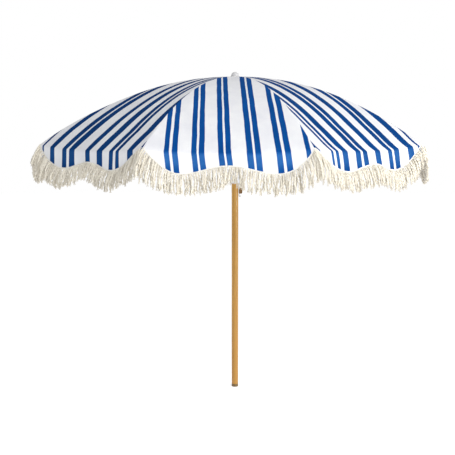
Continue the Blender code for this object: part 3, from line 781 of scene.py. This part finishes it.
def tassel_lines(sector, shares, rng, out, length):
    """One layer's centre lines as (tassel, ring, xyz), and each tassel's two sideways axes and length."""
    count = len(shares)
    root = edge_frame(sector, shares, -0.001, out)
    lead = edge_frame(sector, shares, 0.012, out) - root
    lead /= np.linalg.norm(lead, axis=1, keepdims=True)
    outward = sector.outward(shares)
    along = np.cross(outward, np.array([0.0, 0.0, 1.0]))
    down = np.array([0.0, 0.0, -1.0])
    lean = rng.normal(0.0, LEAN_SCATTER, count)
    flare = rng.normal(1.0, FLARE_SCATTER, count)
    reach = (length + longer(sector, shares)) * rng.uniform(0.92, 1.08, count)
    share = np.linspace(0.0, 1.0, STRAND_RINGS)
    points = np.empty((count, STRAND_RINGS, 3))
    points[:, 0] = root
    for ring in range(1, STRAND_RINGS):
        here = share[ring]
        follow = FOLLOW_EDGE * (1.0 - here)
        swing = flare * (ROOT_FLARE * (1.0 - here) ** 1.6 + TIP_FLARE)
        course = lead * follow + down * (1.0 - follow)
        course = course + along * lean[:, None] + outward * swing[:, None]
        course /= np.linalg.norm(course, axis=1, keepdims=True)
        points[:, ring] = points[:, ring - 1] + course * (reach / (STRAND_RINGS - 1))[:, None]
    bend = WIGGLE * np.sqrt(share)[None, :]
    for axis, size in ((along, 1.0), (outward, 0.8)):
        phase = rng.uniform(0.0, 2.0 * math.pi, (count, 2))
        waves = rng.uniform(0.8, 1.7, count)[:, None]
        move = np.sin(2.0 * math.pi * waves * share[None, :] + phase[:, :1]) * bend
        move += np.sin(2.0 * math.pi * 2.6 * waves * share[None, :] + phase[:, 1:]) * bend * 0.35
        move -= move[:, :1]
        points += axis[:, None, :] * (size * move)[..., None]
    return points, along, outward, reach


def ply_tubes(points, along, outward, reach, rng):
    """Two plies twisted about each centre line, as tubes; a tassel's plies part a little at its end."""
    count = len(points)
    share = np.linspace(0.0, 1.0, STRAND_RINGS)
    start = rng.uniform(0.0, 2.0 * math.pi, count)[:, None]
    spin = start + 2.0 * math.pi * (reach / PLY_PITCH)[:, None] * share[None, :]
    size = PLY_RADIUS * rng.uniform(0.85, 1.15, count)
    taper = np.interp(share, [0.0, 0.08, 0.86, 1.0], [0.55, 1.0, 1.05, 0.55])
    apart = PLY_OFFSET * np.interp(share, [0.0, 0.08, 0.80, 1.0], [0.5, 1.0, 1.0, 1.7])
    turn = 2.0 * math.pi * np.arange(STRAND_SIDES) / STRAND_SIDES
    wide = (size[:, None] * taper[None, :])[..., None]
    plies = []
    for half in (0.0, math.pi):
        u = (apart * np.cos(spin + half))[..., None] + wide * np.cos(turn)
        v = (apart * np.sin(spin + half))[..., None] + wide * np.sin(turn)
        ring = points[:, :, None, :] + along[:, None, None, :] * u[..., None]
        plies.append(ring + outward[:, None, None, :] * v[..., None])
    return np.concatenate(plies)


def tube_faces(count):
    """Faces of count closed tubes whose vertices follow each other, ring by ring."""
    per = STRAND_RINGS * STRAND_SIDES
    tube = []
    for level in range(STRAND_RINGS - 1):
        for side in range(STRAND_SIDES):
            after = (side + 1) % STRAND_SIDES
            low, high = level * STRAND_SIDES, (level + 1) * STRAND_SIDES
            tube.append((low + side, high + side, high + after, low + after))
    tube += [tuple(range(STRAND_SIDES)), tuple(range(per - STRAND_SIDES, per))[::-1]]
    return [tuple(start + i for i in face) for start in range(0, count * per, per) for face in tube]


def add_fringe(sector, paint):
    """Twisted tassels under the binding: a light outer layer with gaps, and one behind it painted darker as
    shade.
    """
    rng = np.random.default_rng(40 + sector.number)
    tubes, tones = [], []
    for out, length, darkest_tone, light in FRINGE_LAYERS:
        shares = tassel_shares(sector, rng)
        points, along, outward, reach = tassel_lines(sector, shares, rng, out, length * TASSEL_LENGTH)
        tubes.append(ply_tubes(points, along, outward, reach, rng))
        # Tones are random within each layer's range; the low range of the layer behind is painted shade.
        tone = rng.uniform(darkest_tone, light, len(shares))
        tones.append(np.repeat(np.concatenate([tone, tone]), STRAND_RINGS * STRAND_SIDES))
    made = np.concatenate(tubes)
    fringe = add_mesh(f"fringe_tassels_{sector.number}", made.reshape(-1, 3), tube_faces(len(made)), [paint])
    shade = fringe.data.attributes.new("tone", "FLOAT", "POINT")
    shade.data.foreach_set("value", np.concatenate(tones).astype(np.float32))
    lay_on(fringe, sector)
    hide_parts(f"fringe_{sector.number}")
    return fringe


# ---------------------------------------------------------------- stitches


def add_stitches(sector, paint):
    """Two rows of lockstitch beside the rib's seam and one row along the binding."""
    rows = []
    for offset in (-SEAM_STITCH_OFF, SEAM_STITCH_OFF):
        radii = np.arange(SEAM_STITCH_FROM, TIP_RADIUS - 0.004, SEAM_STITCH_PITCH)
        share = offset / (radii * math.sin(HALF_GORE))
        near = sector.roof(radii, share)
        far = sector.roof(radii + SEAM_STITCH_LENGTH, share)
        rows += list(zip(near, far))
    edge = np.arange(-0.99, 0.99, EDGE_STITCH_PITCH)
    near = edge_frame(sector, edge, *EDGE_STITCH_PLACE)
    far = edge_frame(sector, edge + EDGE_STITCH_LENGTH, *EDGE_STITCH_PLACE)
    rows += list(zip(near, far))
    vertices, faces = [], []
    for start, end in rows:
        start, end = Vector(start), Vector(end)
        along = (end - start).normalized()
        side = along.cross(Vector((0.0, 0.0, 1.0))).normalized()
        lift = side.cross(along).normalized()
        first = len(vertices)
        for share, size in ((0.0, 0.25), (0.25, 1.0), (0.75, 1.0), (1.0, 0.25)):
            centre = start.lerp(end, share)
            for turn in range(4):
                angle = 0.5 * math.pi * turn
                spread = side * math.cos(angle) + lift * math.sin(angle)
                vertices.append(centre + spread * (STITCH_RADIUS * size))
        for level in range(3):
            for turn in range(4):
                low, high = first + 4 * level, first + 4 * level + 4
                after = (turn + 1) % 4
                faces.append((low + turn, low + after, high + after, high + turn))
        faces.append(tuple(range(first, first + 4))[::-1])
        faces.append(tuple(range(first + 12, first + 16)))
    thread = add_mesh(f"stitches_{sector.number}", vertices, faces, [paint])
    lay_on(thread, sector)
    return thread


# ---------------------------------------------------------------- pole, cap and fittings


def revolve(name, outline, paint, steps=96):
    """Turns an open (r, z) outline, from axis to axis, about Z."""
    vertices, faces = [], []
    rings = []
    for radius, height in outline:
        if radius < 1e-6:
            rings.append([len(vertices)] * steps)
            vertices.append((0.0, 0.0, height))
            continue
        rings.append(list(range(len(vertices), len(vertices) + steps)))
        for step in range(steps):
            turn = 2.0 * math.pi * step / steps
            vertices.append((radius * math.cos(turn), radius * math.sin(turn), height))
    for here, there in zip(rings, rings[1:]):
        for step in range(steps):
            after = (step + 1) % steps
            corners = (here[step], here[after], there[after], there[step])
            faces.append(tuple(dict.fromkeys(corners)))
    made = add_mesh(name, vertices, faces, [paint])
    made.data.set_sharp_from_angle(angle=SHARP_ANGLE)
    return made


def add_pole(wood):
    """The pole as a fine cylinder with softened ends."""
    low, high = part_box("pole")
    radius = high.x
    soft = POLE_SOFT_END
    row = (high.z - low.z - 2 * soft) / POLE_ROWS
    outline = [(0.0, low.z), (radius - soft, low.z), (radius - 0.3 * soft, low.z + 0.3 * soft)]
    outline += [(radius, low.z + soft + row * step) for step in range(POLE_ROWS + 1)]
    outline += [(radius - 0.3 * soft, high.z - 0.3 * soft), (radius - soft, high.z), (0.0, high.z)]
    pole = revolve("pole_wood", outline, wood)
    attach(pole, "mast")
    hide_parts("pole")


def add_crown_patch(paint):
    """A round patch sewn over the crown, under the cap."""
    radii = np.linspace(*PATCH_RADII, len(PATCH_LIFTS))
    outline = [(float(r), float(cloth_z(r) + lift)) for r, lift in zip(radii, PATCH_LIFTS)]
    outline += [(float(r), float(cloth_z(r) + PATCH_CLEARANCE)) for r in radii[::-1]]
    patch = revolve("crown_patch", outline + outline[:1], paint)
    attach(patch, "mast")


def add_cap(white):
    """The domed cap with its rolled brim."""
    low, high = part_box("finial_cap")
    radius = high.x
    dome = CAP_DOME_SHARE * radius
    base = low.z
    brim = CAP_BRIM
    outline = [(0.0, base), (radius - CAP_UNDERCUT, base)]
    outline += [(radius - brim + brim * math.sin(t), base + brim - brim * math.cos(t))
                for t in np.linspace(0.3, math.pi, 9)]
    rise = high.z - base - 2 * brim
    outline += [(dome * math.cos(t), base + 2 * brim + rise * math.sin(t))
                for t in np.linspace(0.0, 0.5 * math.pi, 20)[:-1]]
    outline += [(0.0, high.z)]
    cap = revolve("cap_dome", outline, white)
    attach(cap, "mast")
    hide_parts("finial_cap")


def paint_node(name, paint, bevel=None):
    """A carried CAD node gets its material and, where it is moulded, softened edges."""
    node = frame["nodes"][name]
    node.data.materials.clear()
    node.data.materials.append(paint)
    if bevel:
        soft = node.modifiers.new("Soft edges", "BEVEL")
        soft.width = bevel
        soft.segments = 2
        soft.limit_method = "ANGLE"
        soft.angle_limit = SHARP_ANGLE


def follow_cloth(name, paint, body):
    """A copy of a CAD node, opened like the cloth."""
    mesh = frame["nodes"][name].data.copy()
    mesh.name = name + "_opened"
    flat = np.empty(len(mesh.vertices) * 3, np.float64)
    mesh.vertices.foreach_get("co", flat)
    mesh.vertices.foreach_set("co", opened(flat.reshape(-1, 3)).ravel())
    mesh.materials.clear()
    mesh.materials.append(paint)
    made = bpy.data.objects.new(mesh.name, mesh)
    bpy.context.scene.collection.objects.link(made)
    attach(made, body)
    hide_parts(name)
    return made


def main():
    add_camera()
    add_lights()
    add_floor()
    canvases = {name: canvas_material(name, stripes) for name, stripes in CUTS.items()}
    cotton = cotton_material()
    tape = binding_material()
    white = plastic_material("white_plastic", (0.70, 0.70, 0.71), (0.82, 0.82, 0.82), 0.28)
    steel = metal_material("plated_steel", (0.50, 0.50, 0.51), (0.68, 0.68, 0.68), 0.25)
    rod = metal_material("white_lacquered_rod", (0.74, 0.74, 0.75), (0.84, 0.84, 0.84), 0.35, 0.0)
    brown = plastic_material("brown_catch", (0.17, 0.085, 0.022), (0.27, 0.15, 0.045), 0.38)
    dark = metal_material("dark_hook", (0.012, 0.010, 0.008), (0.035, 0.030, 0.025), 0.45, 0.0)
    ferrule = plastic_material("ferrule_brown", (0.11, 0.065, 0.02), (0.19, 0.12, 0.045), 0.4)
    for number in range(1, RIBS + 1):
        sector = Sector(number)
        cloth, flat, area = add_cloth(sector, canvases)
        on_it = [add_binding(sector, tape), add_fringe(sector, cotton), add_stitches(sector, tape)]
        body = f"rib_{number}"
        on_the_left = abs(sector.pivot.y) < -sector.pivot.x
        if on_the_left:
            follow_cloth(f"rib_{number}", rod, body)
            follow_cloth(f"rib_tip_{number}", white, body)
        else:
            paint_node(f"rib_{number}", rod)
            paint_node(f"rib_tip_{number}", white)
        paint_node(f"stretcher_{number}", rod)
    add_pole(wood_material())
    add_cap(plastic_material("cap_plastic", (0.60, 0.60, 0.62), (0.72, 0.72, 0.73), 0.3))
    add_crown_patch(tape)
    paint_node("pole_ferrule", ferrule)
    for name in ("top_hub", "runner"):
        paint_node(name, white, MOULDED_EDGE)
    for name in ("hub_ring", "runner_ring", "finial_stud", "catch_pin"):
        paint_node(name, steel)
    paint_node("catch_lever", brown)
    paint_node("catch_hook", dark)


main()
